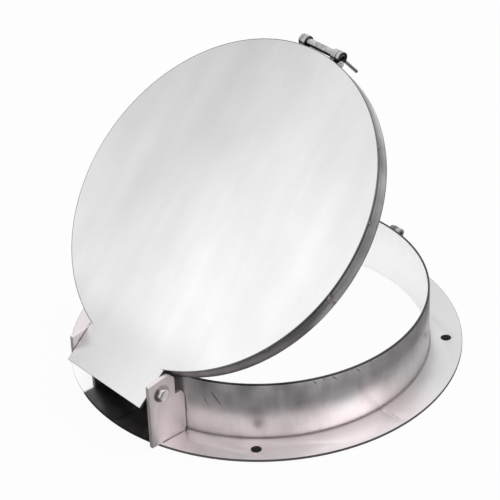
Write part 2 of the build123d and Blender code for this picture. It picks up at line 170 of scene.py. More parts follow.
class Finish(Graph):
    # one material, built round its Principled shader

    def __init__(self, name):
        self.material = bpy.data.materials.new(name)
        self.material.use_nodes = True
        super().__init__(self.material.node_tree)
        self.shader = self.tree.nodes["Principled BSDF"]
        self.place = self.add("ShaderNodeTexCoord", output="Object")

    def set(self, **values):
        for key, value in values.items():
            self.feed(self.shader.inputs[key.replace("_", " ")], value)

    def show(self, surface):
        # something else than the Principled shader as the surface
        self.feed(self.tree.nodes["Material Output"].inputs["Surface"], surface)

    def blend(self, factor, first, second, way="MIX"):
        return self.add("ShaderNodeMix", {"data_type": "RGBA", "blend_type": way},
                        {0: factor, 6: first, 7: second}, output=2)

    def along(self, scale, onLid=False, turn=0.0):
        # coordinates of the sheet itself, scaled per metre and turned in its plane
        lean = Matrix.Rotation(lidOpening if onLid else 0.0, 3, "X") @ Matrix.Rotation(turn, 3, "Z")
        return self.add("ShaderNodeMapping", {"vector_type": "TEXTURE"}, {
            "Vector": self.place,
            "Location": hingePoint if onLid else (0, 0, 0),
            "Rotation": lean.to_euler("XYZ"),
            "Scale": [1 / each for each in scale]})

    def parts(self, vector):
        split = self.add("ShaderNodeSeparateXYZ", values={0: vector})
        outputs = split.socket.node.outputs
        return [Wire(self, outputs[axis]) for axis in range(3)]

    def cloud(self, vector, detail=3.0, rough=0.5):
        return self.add("ShaderNodeTexNoise", values={
            "Vector": vector, "Scale": 1.0, "Detail": detail, "Roughness": rough})

    def step(self, value, low, high, first=0.0, last=1.0):
        # eased from first at low to last at high
        if low > high:
            low, high, first, last = high, low, last, first
        return self.add("ShaderNodeMapRange", {"interpolation_type": "SMOOTHSTEP"},
                        {0: value, 1: low, 2: high, 3: first, 4: last})

    def near(self, value, centre, inner, outer, inside=1.0, outside=0.0):
        # eased from inside to outside as the value leaves the centre
        return self.step((value - centre).math("ABSOLUTE"), inner, outer, inside, outside)

    def swing(self, value, amount):
        # noise about 0.5 becomes a factor about 1
        return (value - 0.5) * (2 * amount) + 1.0

    def spot(self, vector, centre, radius):
        # 1 at the centre, 0 past the radius
        far = self.add("ShaderNodeVectorMath", {"operation": "DISTANCE"}, {0: vector, 1: centre},
                       output="Value")
        return self.step(far, radius, 0.0)

    def stroke(self, across, up, start, end, width):
        # a thin mark from start to end on a wall unrolled to across and up
        runX, runY = end[0] - start[0], end[1] - start[1]
        length = math.hypot(runX, runY)
        runX, runY = runX / length, runY / length
        onward = (across - start[0]) * runX + (up - start[1]) * runY
        aside = (across - start[0]) * -runY + (up - start[1]) * runX
        taper = self.step(onward, 0.0, length * 0.3) * self.step(onward, length, length * 0.5)  # thin ends
        return self.near(aside, 0.0, width * 0.3, width) * taper


def flatLength(first, second):
    return (first * first + second * second).math("SQRT")


def bearing(x, y):
    # degrees round the neck's axis, 0 at +X, -90 at the hinge
    return y.math("ARCTAN2", x).math("DEGREES")


def arcOf(degrees, radius):
    # length along a wall of that radius; works on a bearing too
    return degrees * math.radians(radius)


def dimmed(shade, mask, depth):
    return shade * (1.0 - mask * depth)


steelGrain = {  # what every steel finish shares
    "pitScale": 420, "pitLevel": (0.70, 0.80),
    "scratchTurn": 0.35, "scratchStretch": 0.4, "scratchLevel": (0.74, 0.80),
    "undertone": (0.35, 0.65),
    "roughStreaks": 0.25, "roughBrushing": 0.35,
    "reliefBrushing": 0.6, "reliefStreaks": 0.4, "relief": 0.25 * mm,
}


def steel(name, look, onLid=False, extra=None):
    # sheet and bar: clouds, brushing along one way, fine scratches, small pits
    finish = Finish(name)
    turn = math.radians(look.get("turn", 0.0))
    clouds = finish.cloud(finish.along(look["cloudScale"], onLid, turn), 3.0)
    streaks = finish.cloud(finish.along(look["streakScale"], onLid, turn), 3.0, 0.6)
    brushing = finish.cloud(finish.along(look["brushScale"], onLid, turn), 2.0, 0.7)
    pits = finish.cloud(finish.along((steelGrain["pitScale"],) * 3, onLid), 2.0, 0.6)
    lengthwise = [each * steelGrain["scratchStretch"] for each in look["brushScale"]]
    lines = finish.cloud(finish.along(lengthwise, onLid, turn + steelGrain["scratchTurn"]), 1.0)
    shade = (finish.swing(clouds, look["clouds"]) * finish.swing(streaks, look["streaks"])
             * finish.swing(brushing, look["brushing"]))
    shade = shade - finish.step(pits, *steelGrain["pitLevel"]) * look["pits"]
    shade = shade + finish.step(lines, *steelGrain["scratchLevel"]) * look["scratches"]
    under = finish.step(clouds, *steelGrain["undertone"])
    colour = finish.blend(under, (*look["tone"], 1), (*look["undertone"], 1))
    rough = (finish.swing(streaks, steelGrain["roughStreaks"])
             * finish.swing(brushing, steelGrain["roughBrushing"]) * look["roughness"])
    height = brushing * steelGrain["reliefBrushing"] + streaks * steelGrain["reliefStreaks"]
    if extra:
        colour, shade, rough = extra(finish, colour, shade, rough)
    colour = finish.blend(1.0, colour, shade, "MULTIPLY")
    bump = finish.add("ShaderNodeBump", values={
        "Strength": look["bump"], "Distance": steelGrain["relief"], "Height": height})
    finish.set(Base_Color=colour, Metallic=look.get("metallic", 1.0), Roughness=rough, Normal=bump)
    return finish.material


# marks of making and use, and painted light and shade, added to the finishes: a pair is where
# a change starts and where it ends, and an angle is a bearing in degrees

weldHeat = {
    "stops": [(0.0, (0.42, 0.40, 0.42, 1)), (0.25, (0.50, 0.44, 0.50, 1)),
              (0.5, (0.72, 0.58, 0.50, 1)), (0.75, (0.95, 0.87, 0.74, 1)), (1.0, (1, 1, 1, 1))],
    "wander": 4 * mm,
}


def heatTint(finish, colour, distance, reach, amount):
    # straw, brown and blue bands beside a weld
    near = finish.add("ShaderNodeMapRange", values={0: distance, 1: 0.0, 2: reach, 3: 0.0, 4: 1.0})
    bands = finish.add("ShaderNodeValToRGB", {"stops": weldHeat["stops"]}, {0: near})
    return finish.blend(amount, colour, finish.blend(1.0, colour, bands, "MULTIPLY"))


# painted shade under the hinge's tongue, between the ears, with lighter patches
hingeLeeShade = {
    "wanderScale": (45, 45, 45), "wander": 3 * mm,
    "across": off(sheet["earInside"], 0, 5), "back": off(-sheet["neckRadius"], 4, 25),
    "wipeScale": (60, 18, 30), "wipeTurn": 0.5, "wipeLevel": (0.52, 0.74), "wiped": 0.14,
    "depth": 0.87,
}


def shadeUnderTongue(finish):
    # painted shade kept in the lee of the hinge, under the tongue and between the ears, 1 where unshaded
    x, y, z = finish.parts(finish.place)
    wander = finish.cloud(finish.along(hingeLeeShade["wanderScale"]), 3.0) * hingeLeeShade["wander"]
    between = finish.near(x, 0.0, *hingeLeeShade["across"])
    behind = finish.step(y - wander, *hingeLeeShade["back"], 1.0, 0.0)
    smear = finish.cloud(finish.along(hingeLeeShade["wipeScale"], turn=hingeLeeShade["wipeTurn"]), 3.0)
    wiped = finish.step(smear, *hingeLeeShade["wipeLevel"]) * hingeLeeShade["wiped"]
    return 1.0 - between * behind * (hingeLeeShade["depth"] - wiped)


flangeWearAndShade = {
    "wanderScale": (60, 60, 60), "footReach": 9 * mm, "footTint": 0.12,
    "footRadius": sheet["neckRadius"] + 1.0 * mm, "toeRadius": sheet["neckRadius"] + 1.2 * mm,
    "toe": (0.4 * mm, 0.9 * mm), "toeShade": 0.5,
    "greyStart": (2, 26), "greyEnd": (175, 120), "grey": (0.70, 0.70, 0.70, 1),
    "front": -62, "frontSpread": (16, 34), "frontGain": 0.1,
    "washedStart": (-105, -108), "washedEnd": (-140, -128),
    "washedBore": off(sheet["neckRadius"], -1, -2), "washed": (0.97, 0.97, 0.97, 1), "washedGain": 0.04,
    "rim": off(sheet["flangeRadius"], -1.0, -0.3), "rimDepth": 0.82, "rimRough": 0.2,
}


def flangeMarks(finish, colour, shade, rough):
    # painted shade at the weld's toe, under the hinge and on the outer edge; greyer on the right, brighter
    # in front; near white left of the left ear, and on the bore as painted reflection
    wearAndShade = flangeWearAndShade
    x, y, z = finish.parts(finish.place)
    radius = flatLength(x, y)
    angle = bearing(x, y)
    wander = finish.cloud(finish.along(wearAndShade["wanderScale"]), 2.0) * weldHeat["wander"]
    toFoot = (radius - wearAndShade["footRadius"]).math("ABSOLUTE") + wander
    colour = heatTint(finish, colour, toFoot, wearAndShade["footReach"], wearAndShade["footTint"])
    # painted shade in the corner at the neck's foot, then painted shade under the hinge
    toe = finish.near(radius, wearAndShade["toeRadius"], *wearAndShade["toe"], wearAndShade["toeShade"], 1.0)
    shade = shade * toe * shadeUnderTongue(finish)
    side = finish.step(angle, *wearAndShade["greyStart"]) * finish.step(angle, *wearAndShade["greyEnd"])
    colour = finish.blend(side, colour, wearAndShade["grey"])
    shade = shade * (1.0 + finish.near(angle, wearAndShade["front"], *wearAndShade["frontSpread"], wearAndShade["frontGain"]))
    # near white left of the left ear; on the bore this is painted reflection
    washed = finish.step(angle, *wearAndShade["washedStart"]) * finish.step(angle, *wearAndShade["washedEnd"])
    washed = washed.math("MAXIMUM", finish.step(radius, *wearAndShade["washedBore"]))
    colour = finish.blend(washed, colour, wearAndShade["washed"])
    shade = shade * (1.0 + washed * wearAndShade["washedGain"])
    # painted shade on the flange's outer edge
    rim = finish.step(radius, *wearAndShade["rim"]) * (1.0 - washed)
    return colour, dimmed(shade, rim, wearAndShade["rimDepth"]), rough + rim * wearAndShade["rimRough"]


neckStrokes = [  # angle and height of each end, width
    ((-26.0, 97.5), (-24.2, 88), 1.3),
    ((-19.4, 98.5), (-16.8, 86), 1.4),
    ((-10.6, 97.5), (-8.0, 86), 1.3),
    ((-22.6, 98.5), (-21.6, 93), 1.0),
    ((-60.5, 85), (-55.6, 53), 1.6),
    ((-62.5, 70), (-61.0, 55), 1.0),
]
# partly real stains, partly painted reflection; the bright patch is a painted highlight
neckStainsAndReflections = [  # angle, height, size, depth; a negative depth is a bright patch
    (-45.2, 48, 24, 0.28),
    (-43.0, 30, 18, 0.14),
    (-31.2, 80, 26, 0.20),
    (-30.0, 60, 20, 0.14),
    (-62.0, 98, 36, 0.55),
    (-48.0, 100, 32, 0.50),
    (-36.0, 100, 26, 0.42),
    (-35.0, 16, 30, 0.14),
    (-15.0, 46, 36, -0.36),
    (3.0, 44, 26, 0.16),
    (20.0, 62, 44, 0.14),
    (95.0, 60, 50, 0.18),
    (170.0, 50, 46, 0.16),
    (-150.0, 70, 48, 0.18),
]
neckWearAndShade = {
    "wanderScale": (50, 50, 80), "footHeight": sheet["flangeTop"] + 1 * mm,
    "footReach": 9 * mm, "footTint": 0.12,
    "seamReach": 14 * mm, "seamTint": 0.35, "strokeDepth": 0.7, "strokeRough": 0.15,
    "glow": -14, "glowSpread": (0, 24), "glowGain": 0.22,
    "dullStart": (-6, 8), "dullEnd": (90, 60), "dullBelow": (62 * mm, 48 * mm), "dullDepth": 0.2,
    "toe": off(sheet["flangeTop"], 1.2, 1.8), "toeShade": 0.5,
    "rim": off(sheet["neckTop"], -2.4, -1.6), "rimDepth": 0.9,
    "inside": off(sheet["neckRadius"], -1.4, -0.6), "insideTop": off(sheet["neckTop"], -0.8, -1.4),
    "insideTone": (0.97, 0.97, 0.97, 1), "insideScale": (20, 20, 60), "insideClouds": 0.02,
}


def neckMarks(finish, colour, shade, rough):
    # strokes, stains and painted reflection on the outside, painted shade on the rim, at the foot and under
    # the hinge, an inside near white as painted reflection
    wearAndShade = neckWearAndShade
    x, y, z = finish.parts(finish.place)
    angle = bearing(x, y)
    arc = arcOf(angle, sheet["neckRadius"])
    wander = finish.cloud(finish.along(wearAndShade["wanderScale"]), 2.0) * weldHeat["wander"]
    toFoot = (z - wearAndShade["footHeight"]).math("ABSOLUTE") + wander
    colour = heatTint(finish, colour, toFoot, wearAndShade["footReach"], wearAndShade["footTint"])
    toSeam = (arc - arcOf(sheet["neckSeam"], sheet["neckRadius"])).math("ABSOLUTE") + wander
    colour = heatTint(finish, colour, toSeam, wearAndShade["seamReach"], wearAndShade["seamTint"])
    strokes = 0.0
    for start, end, width in neckStrokes:
        ends = [(arcOf(turn, sheet["neckRadius"]), level * mm) for turn, level in (start, end)]
        strokes = finish.stroke(arc, z, *ends, width * mm).math("MAXIMUM", strokes)
    shade = dimmed(shade, strokes, wearAndShade["strokeDepth"])
    for turn, level, size, depth in neckStainsAndReflections:
        centre = Matrix.Rotation(math.radians(turn), 3, "Z") @ Vector((sheet["neckRadius"], 0, level * mm))
        shade = dimmed(shade, finish.spot(finish.place, centre, size * mm), depth)
    # painted highlight round bearing -14
    shade = shade * (1.0 + finish.near(angle, wearAndShade["glow"], *wearAndShade["glowSpread"], wearAndShade["glowGain"]))
    # painted shade low on the wall between bearings of about 0 and 75
    dull = (finish.step(angle, *wearAndShade["dullStart"]) * finish.step(angle, *wearAndShade["dullEnd"])
            * finish.step(z, *wearAndShade["dullBelow"]))
    shade = dimmed(shade, dull, wearAndShade["dullDepth"])
    # painted shade at the foot and under the hinge
    shade = shade * finish.step(z, *wearAndShade["toe"], wearAndShade["toeShade"], 1.0) * shadeUnderTongue(finish)
    # painted shade on the rim
    shade = dimmed(shade, finish.step(z, *wearAndShade["rim"]), wearAndShade["rimDepth"])
    # an inside near white, painted reflection
    inside = (finish.step(flatLength(x, y), *wearAndShade["inside"], 1.0, 0.0)
              * finish.step(z, *wearAndShade["insideTop"]))
    colour = finish.blend(inside, colour, wearAndShade["insideTone"])
    clouds = finish.cloud(finish.along(wearAndShade["insideScale"]), 3.0)
    shade = shade * (1.0 - inside) + inside * finish.swing(clouds, wearAndShade["insideClouds"])
    return colour, shade, rough + strokes * wearAndShade["strokeRough"]


lidWearAndShade = {
    "turn": math.radians(8), "wideScale": (24, 2.6, 10), "wide": 0.08,
    "blotchScale": (10, 6, 9), "blotches": 0.13,
    "fallLean": -0.25, "fall": (0.08, 0.62), "fallDepth": 0.26,
    "left": (-100 * mm, 60 * mm), "leftShade": 0.89, "rightShade": 1.045,
    "tongue": (25 * mm, 90 * mm), "tongueShade": 0.86,
    "discEdge": off(sheet["lidBack"], -1.5, -0.9), "discFrom": (28 * mm, 30 * mm),
    "tongueSide": off(sheet["earInside"], -1.8, -1.3), "tongueEnd": off(sheet["lidFront"], 0.8, 0.3),
    "edgeDepth": 0.78,
}


def lidMarks(finish, colour, shade, rough):
    # greyer on the left, towards the far side and at the tongue, as painted reflection, and painted shade
    # on its cut edge
    wearAndShade = lidWearAndShade
    x, out, up = finish.parts(finish.along((1, 1, 1), True))
    wide = finish.cloud(finish.along(wearAndShade["wideScale"], True, wearAndShade["turn"]), 3.0, 0.55)
    blotch = finish.cloud(finish.along(wearAndShade["blotchScale"], True, wearAndShade["turn"]), 4.0)
    # painted reflection: darker towards the far side, on the left and at the tongue
    shade = dimmed(shade, finish.step(out + x * wearAndShade["fallLean"], *wearAndShade["fall"]), wearAndShade["fallDepth"])
    shade = shade * finish.swing(wide, wearAndShade["wide"]) * finish.swing(blotch, wearAndShade["blotches"])
    shade = shade * finish.step(x, *wearAndShade["left"], wearAndShade["leftShade"], wearAndShade["rightShade"])
    shade = shade * finish.step(out, *wearAndShade["tongue"], wearAndShade["tongueShade"], 1.0)
    # painted shade on the cut edge of the disc and the tongue
    y = out + hingePoint.y
    onDisc = finish.step(out, *wearAndShade["discFrom"])
    disc = finish.step(flatLength(x, y), *wearAndShade["discEdge"]) * onDisc
    sides = finish.step(x.math("ABSOLUTE"), *wearAndShade["tongueSide"]) * (1.0 - onDisc)
    end = finish.step(y, *wearAndShade["tongueEnd"])
    edge = disc.math("MAXIMUM", sides).math("MAXIMUM", end)
    return colour, dimmed(shade, edge, wearAndShade["edgeDepth"]), rough


skirtWearAndShade = {
    "seamReach": 10 * mm, "seamTint": 0.3,
    "tackHeight": sheet["lidUnderside"] - 1.5 * mm, "tackHalo": (8 * mm, 2 * mm), "tackDepth": 0.4,
    "smearScale": (30, 30, 8), "smear": 0.3,
    "front": (-14, -22), "frontHeight": off(sheet["skirtFoot"], 1.5, 14.5), "frontShade": (0.34, 0.64),
    "sideHeight": off(sheet["skirtFoot"], 1.5, 18.5), "sideShade": (1.52, 0.62),
    "far": (150, 105), "farShade": 0.85,
    "dull": 40, "dullSpread": (2, 9), "dullDepth": 0.35,
    "pale": -3, "paleSpread": (4, 13), "paleGain": 0.75,
    "low": off(sheet["skirtFoot"], 2.3, 1.1), "lowDepth": 0.68,
    "high": off(sheet["lidUnderside"], -3.7, -1.9), "highDepth": 0.72,
}


def skirtMarks(finish, colour, shade, rough):
    # darker in front than at the side, changing with height and bearing, as painted reflection; dirt round
    # the tacks; painted shade along both edges
    wearAndShade = skirtWearAndShade
    x, out, up = finish.parts(finish.along((1, 1, 1), True))
    angle = bearing(x, out + hingePoint.y)
    level = up + hingePoint.z
    toSeam = arcOf((angle - sheet["skirtSeam"]).math("ABSOLUTE"), sheet["skirtRadius"])
    colour = heatTint(finish, colour, toSeam, wearAndShade["seamReach"], wearAndShade["seamTint"])
    pitch = 360 / sheet["tackCount"]
    toTack = ((angle - sheet["tackStart"]) / pitch + 0.5).math("FRACT") - 0.5
    toTack = arcOf(toTack * pitch, sheet["skirtRadius"])
    halo = finish.step(flatLength(toTack, level - wearAndShade["tackHeight"]), *wearAndShade["tackHalo"])
    shade = dimmed(shade, halo, wearAndShade["tackDepth"])
    smear = finish.cloud(finish.along(wearAndShade["smearScale"], True), 3.0)
    # painted reflection: darker in front than at the side, changing with height
    front = finish.step(angle, *wearAndShade["front"])
    onFront = finish.step(level, *wearAndShade["frontHeight"], *wearAndShade["frontShade"])
    onSide = finish.step(level, *wearAndShade["sideHeight"], *wearAndShade["sideShade"])
    near = finish.step(angle.math("ABSOLUTE"), *wearAndShade["far"])
    worn = onFront * front + onSide * (1.0 - front)
    shade = shade * finish.swing(smear, wearAndShade["smear"]) * (worn * near + wearAndShade["farShade"] * (1.0 - near))
    # painted reflection: a darker band at bearing 40 and a paler one at -3
    shade = dimmed(shade, finish.near(angle, wearAndShade["dull"], *wearAndShade["dullSpread"]), wearAndShade["dullDepth"])
    shade = shade * (1.0 + finish.near(angle, wearAndShade["pale"], *wearAndShade["paleSpread"], wearAndShade["paleGain"]))
    # painted shade along the foot and under the lid's edge
    shade = dimmed(shade, finish.step(level, *wearAndShade["low"]), wearAndShade["lowDepth"])
    return colour, dimmed(shade, finish.step(level, *wearAndShade["high"]), wearAndShade["highDepth"]), rough


earWearAndShade = {
    "ring": (12.8 * mm, 15.2 * mm), "ringLean": 0.6, "ringSide": (-6 * mm, 9 * mm),
    "ringBehind": 0.35, "ringDepth": 0.78,
    "front": off(sheet["earFront"], 0.6, 0.9), "frontDepth": 0.3,
    "leeSide": (0.0, -10 * mm), "leeBelow": (68 * mm, 62 * mm), "leeDepth": 0.8,
    "lug": (0.0, 50 * mm), "lugTone": (0.50, 0.495, 0.495, 1),
}


def earMarks(finish, colour, shade, rough):
    # painted shade in the gap round the hinge bolt and on the cut edge at the front, a painted shadow of
    # the tongue on the left ear; the hook's lug is a greyer steel
    wearAndShade = earWearAndShade
    x, y, z = finish.parts(finish.place)
    out, up = y - hingePoint.y, z - hingePoint.z
    # painted shade in the gap round the hinge bolt, strongest at the front and below
    ring = finish.step(flatLength(out, up), *wearAndShade["ring"], 1.0, 0.0)
    side = finish.step(out + up * wearAndShade["ringLean"], *wearAndShade["ringSide"], 1.0, wearAndShade["ringBehind"])
    shade = dimmed(shade, ring * side, wearAndShade["ringDepth"])
    # painted shade on the cut edge at the front
    shade = dimmed(shade, finish.step(y, *wearAndShade["front"], 1.0, 0.0), wearAndShade["frontDepth"])
    # painted shadow of the tongue on the left ear, below its top
    lee = finish.step(x, *wearAndShade["leeSide"]) * finish.step(z, *wearAndShade["leeBelow"])
    colour = finish.blend(finish.step(y, *wearAndShade["lug"]), colour, wearAndShade["lugTone"])
    return colour, dimmed(shade, lee, wearAndShade["leeDepth"]), rough


weldWearAndShade = {
    "footRadius": off(sheet["neckRadius"], 4.0, 3.4), "footHeight": off(sheet["flangeTop"], 4, 3),
    "earBack": off(-sheet["neckRadius"], 14, 18), "earSide": off(sheet["earInside"], -3.5, 0.5),
    "dirt": 0.55,
    "seamSide": (4 * mm, 6 * mm), "seamFrom": off(sheet["neckRadius"], 5, 7), "seamGain": 0.35,
}


def weldMarks(finish, colour, shade, rough):
    # painted shade in the corner at the neck's foot, darker at the ears' feet, brighter on the right flange
    # seam, painted shade under the hinge
    wearAndShade = weldWearAndShade
    x, y, z = finish.parts(finish.place)
    # painted shade in the corner at the neck's foot; darker by the ears' feet
    foot = finish.step(flatLength(x, y), *wearAndShade["footRadius"]) * finish.step(z, *wearAndShade["footHeight"])
    ears = finish.step(y, *wearAndShade["earBack"], 1.0, 0.0) * finish.step(x, *wearAndShade["earSide"])
    bright = finish.near(y, 0.0, *wearAndShade["seamSide"]) * finish.step(x, *wearAndShade["seamFrom"])
    shade = dimmed(shade, foot.math("MAXIMUM", ears), wearAndShade["dirt"])
    return colour, shade * (1.0 + bright * wearAndShade["seamGain"]) * shadeUnderTongue(finish), rough


latchBands = [  # place along the bar, half width, depth
    (-42.3, 0.9, 0.6), (-39.6, 0.7, 0.6), (-36.6, 0.9, 0.85), (-33.6, 0.5, 0.35), (-27.8, 1.2, 0.8),
    (26.2, 1.0, 0.8), (31.0, 0.5, 0.3), (36.3, 0.9, 0.8), (43.2, 0.8, 0.6)]
latchWearAndShade = {
    "low": (5.5 * mm, 0.0), "lidSide": (0.0, 60 * mm), "lowDepth": 0.62, "bandCore": 0.4,
    "blotScale": (160, 160, 160), "blotLevel": (0.52, 0.66), "blotDepth": 0.25,
}


def latchMarks(finish, colour, shade, rough):
    # bright on top and darker below the bar's axis as painted shade, dirt in the gaps between the turned
    # pieces
    wearAndShade = latchWearAndShade
    x, y, z = finish.parts(finish.place)
    # painted shade below the bar's axis
    low = finish.step(z - camPoint.z, *wearAndShade["low"]) * finish.step(y, *wearAndShade["lidSide"])
    shade = dimmed(shade, low, wearAndShade["lowDepth"])
    for place, width, depth in latchBands:
        band = finish.near(x, place * mm, width * wearAndShade["bandCore"] * mm, width * mm)
        shade = dimmed(shade, band, depth)
    blots = finish.step(finish.cloud(finish.along(wearAndShade["blotScale"]), 3.0), *wearAndShade["blotLevel"])
    return colour, dimmed(shade, blots, wearAndShade["blotDepth"]), rough


looks = {
    "flange_sheet": {
        "tone": (0.84, 0.775, 0.785), "undertone": (0.79, 0.74, 0.75),
        "cloudScale": (9, 9, 9), "clouds": 0.05, "streakScale": (40, 9, 40), "streaks": 0.04,
        "brushScale": (900, 60, 300), "brushing": 0.03, "turn": 20, "roughness": 0.40,
        "scratches": 0.0, "pits": 0.10, "bump": 0.15},
    "neck_sheet": {
        "tone": (0.82, 0.775, 0.78), "undertone": (0.74, 0.715, 0.72),
        "cloudScale": (24, 24, 14), "clouds": 0.17, "streakScale": (90, 90, 30), "streaks": 0.17,
        "brushScale": (30, 30, 700), "brushing": 0.05, "roughness": 0.37,
        "scratches": 0.04, "pits": 0.10, "bump": 0.15},
    "ear_plate": {
        "tone": (0.90, 0.82, 0.82), "undertone": (0.84, 0.77, 0.77),
        "cloudScale": (40, 40, 40), "clouds": 0.05, "streakScale": (60, 120, 25), "streaks": 0.04,
        "brushScale": (700, 700, 90), "brushing": 0.04, "roughness": 0.50, "metallic": 0.8,
        "scratches": 0.04, "pits": 0.12, "bump": 0.2},
    "weld_metal": {
        "tone": (0.74, 0.69, 0.68), "undertone": (0.50, 0.46, 0.46),
        "cloudScale": (130, 130, 130), "clouds": 0.25, "streakScale": (300, 300, 300), "streaks": 0.2,
        "brushScale": (900, 900, 900), "brushing": 0.12, "roughness": 0.38,
        "scratches": 0.05, "pits": 0.3, "bump": 0.5},
    "lid_sheet": {
        "tone": (0.93, 0.927, 0.930), "undertone": (0.895, 0.893, 0.897),
        "cloudScale": (12, 7, 10), "clouds": 0.03, "streakScale": (60, 5, 60), "streaks": 0.014,
        "brushScale": (900, 30, 400), "brushing": 0.012, "turn": 8, "roughness": 0.32,
        "scratches": 0.0, "pits": 0.03, "bump": 0.06},
    # the skirt's dark tone is painted reflection
    "skirt_sheet": {
        "tone": (0.60, 0.59, 0.60), "undertone": (0.47, 0.465, 0.47),
        "cloudScale": (34, 34, 40), "clouds": 0.30, "streakScale": (16, 16, 260), "streaks": 0.28,
        "brushScale": (60, 60, 1200), "brushing": 0.14, "roughness": 0.42,
        "scratches": 0.2, "pits": 0.25, "bump": 0.3},
    "fastener_steel": {
        "tone": (0.80, 0.78, 0.76), "undertone": (0.62, 0.61, 0.59),
        "cloudScale": (200, 200, 200), "clouds": 0.15, "streakScale": (400, 400, 400), "streaks": 0.12,
        "brushScale": (1500, 1500, 1500), "brushing": 0.06, "roughness": 0.28,
        "scratches": 0.08, "pits": 0.2, "bump": 0.2},
    "tube_steel": {
        "tone": (0.50, 0.49, 0.49), "undertone": (0.40, 0.395, 0.40),
        "cloudScale": (30, 90, 90), "clouds": 0.15, "streakScale": (20, 400, 400), "streaks": 0.12,
        "brushScale": (60, 1400, 1400), "brushing": 0.08, "roughness": 0.34,
        "scratches": 0.1, "pits": 0.2, "bump": 0.2},
    "bush_bronze": {
        "tone": (0.62, 0.40, 0.19), "undertone": (0.50, 0.31, 0.15),
        "cloudScale": (120, 120, 120), "clouds": 0.12, "streakScale": (60, 500, 500), "streaks": 0.1,
        "brushScale": (200, 1500, 1500), "brushing": 0.08, "roughness": 0.33,
        "scratches": 0.1, "pits": 0.25, "bump": 0.2},
    "latch_steel": {
        "tone": (0.62, 0.61, 0.61), "undertone": (0.36, 0.355, 0.36),
        "cloudScale": (120, 120, 120), "clouds": 0.25, "streakScale": (500, 120, 120), "streaks": 0.2,
        "brushScale": (1800, 300, 300), "brushing": 0.10, "roughness": 0.17,
        "scratches": 0.12, "pits": 0.2, "bump": 0.1},
    "lever_steel": {
        "tone": (0.30, 0.30, 0.30), "undertone": (0.20, 0.20, 0.205),
        "cloudScale": (150, 150, 150), "clouds": 0.2, "streakScale": (300, 300, 60), "streaks": 0.15,
        "brushScale": (1500, 1500, 200), "brushing": 0.1, "roughness": 0.36,
        "scratches": 0.2, "pits": 0.3, "bump": 0.3},
}
marks = {"flange_sheet": flangeMarks, "neck_sheet": neckMarks, "lid_sheet": lidMarks,
         "skirt_sheet": skirtMarks, "ear_plate": earMarks, "latch_steel": latchMarks,
         "weld_metal": weldMarks}
finishes = {name: steel(name, look, name in ("lid_sheet", "skirt_sheet"), marks.get(name))
            for name, look in looks.items()}

rubber = {
    "cloudScale": (60, 60, 60), "tone": (0.76, 0.75, 0.71, 1), "paleTone": (0.86, 0.85, 0.82, 1),
    "dustScale": (240, 240, 240), "dustLevel": (0.58, 0.72), "dust": 0.4, "dustTone": (0.48, 0.46, 0.43, 1),
    "grainScale": (900, 900, 900), "relief": 0.2 * mm, "bump": 0.3, "roughness": 0.6, "roughGrain": 0.2,
}


def gasketRubber():
    finish = Finish("gasket_rubber")
    clouds = finish.cloud(finish.along(rubber["cloudScale"], True), 4.0)
    grain = finish.cloud(finish.along(rubber["grainScale"], True), 2.0)
    dust = finish.cloud(finish.along(rubber["dustScale"], True), 3.0)
    dust = finish.step(dust, *rubber["dustLevel"]) * rubber["dust"]
    colour = finish.blend(clouds, rubber["tone"], rubber["paleTone"])
    colour = finish.blend(dust, colour, rubber["dustTone"])
    bump = finish.add("ShaderNodeBump", values={
        "Strength": rubber["bump"], "Distance": rubber["relief"], "Height": grain})
    rough = finish.swing(grain, rubber["roughGrain"]) * rubber["roughness"]
    finish.set(Base_Color=colour, Metallic=0.0, Roughness=rough, Normal=bump)
    return finish.material


finishes["gasket_rubber"] = gasketRubber()
for name, part in nodes.items():
    part.data.materials.clear()
    part.data.materials.append(finishes[slotOf[name]])
print("finishes made:", len(finishes))

joining = {
    "same": 0.002 * mm,               # corners nearer than this are one
    "sameInCad": 0.01 * mm,
    "flat": math.radians(0.3),        # faces that lie flatter than this are one
    "sharp": math.radians(38),        # an edge sharper than this stays an edge
    "sharpOnBead": math.radians(60),
}


def linkedPiece(name, mesh, material):
    # closes the bmesh into an object, with its place in its mesh
    data = bpy.data.meshes.new(name)
    mesh.to_mesh(data)
    mesh.free()
    data.materials.append(material)
    piece = bpy.data.objects.new(name, data)
    bpy.context.scene.collection.objects.link(piece)
    return piece


def finishPiece(name, mesh, body, slotName, replaced=(), sharp=joining["sharp"]):
    bmesh.ops.remove_doubles(mesh, verts=mesh.verts, dist=joining["same"])
    bmesh.ops.recalc_face_normals(mesh, faces=mesh.faces)
    piece = linkedPiece(name, mesh, finishes[slotName])
    piece.data.polygons.foreach_set("use_smooth", [True] * len(piece.data.polygons))
    piece.data.set_sharp_from_angle(angle=sharp)
    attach(piece, body)
    if replaced:
        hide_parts(*replaced)


def breakEdges(mesh, width):
    edges = [edge for edge in mesh.edges
             if len(edge.link_faces) == 2 and edge.calc_face_angle() > joining["sharp"]]
    bmesh.ops.bevel(mesh, geom=edges, offset=width, offset_type="OFFSET", segments=2, profile=0.5,
                    affect="EDGES", clamp_overlap=True, material=-1)


def easedCopy(node, width, shape=None):
    # the CAD shape with its sharp edges broken
    mesh = bmesh.new()
    mesh.from_mesh(nodes[node].data)
    bmesh.ops.remove_doubles(mesh, verts=mesh.verts, dist=joining["sameInCad"])
    bmesh.ops.dissolve_limit(mesh, angle_limit=joining["flat"], verts=mesh.verts, edges=mesh.edges)
    if shape:
        shape(mesh)
    breakEdges(mesh, width)
    finishPiece(node + "_eased", mesh, nodes[node]["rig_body"], slotOf[node], [node])


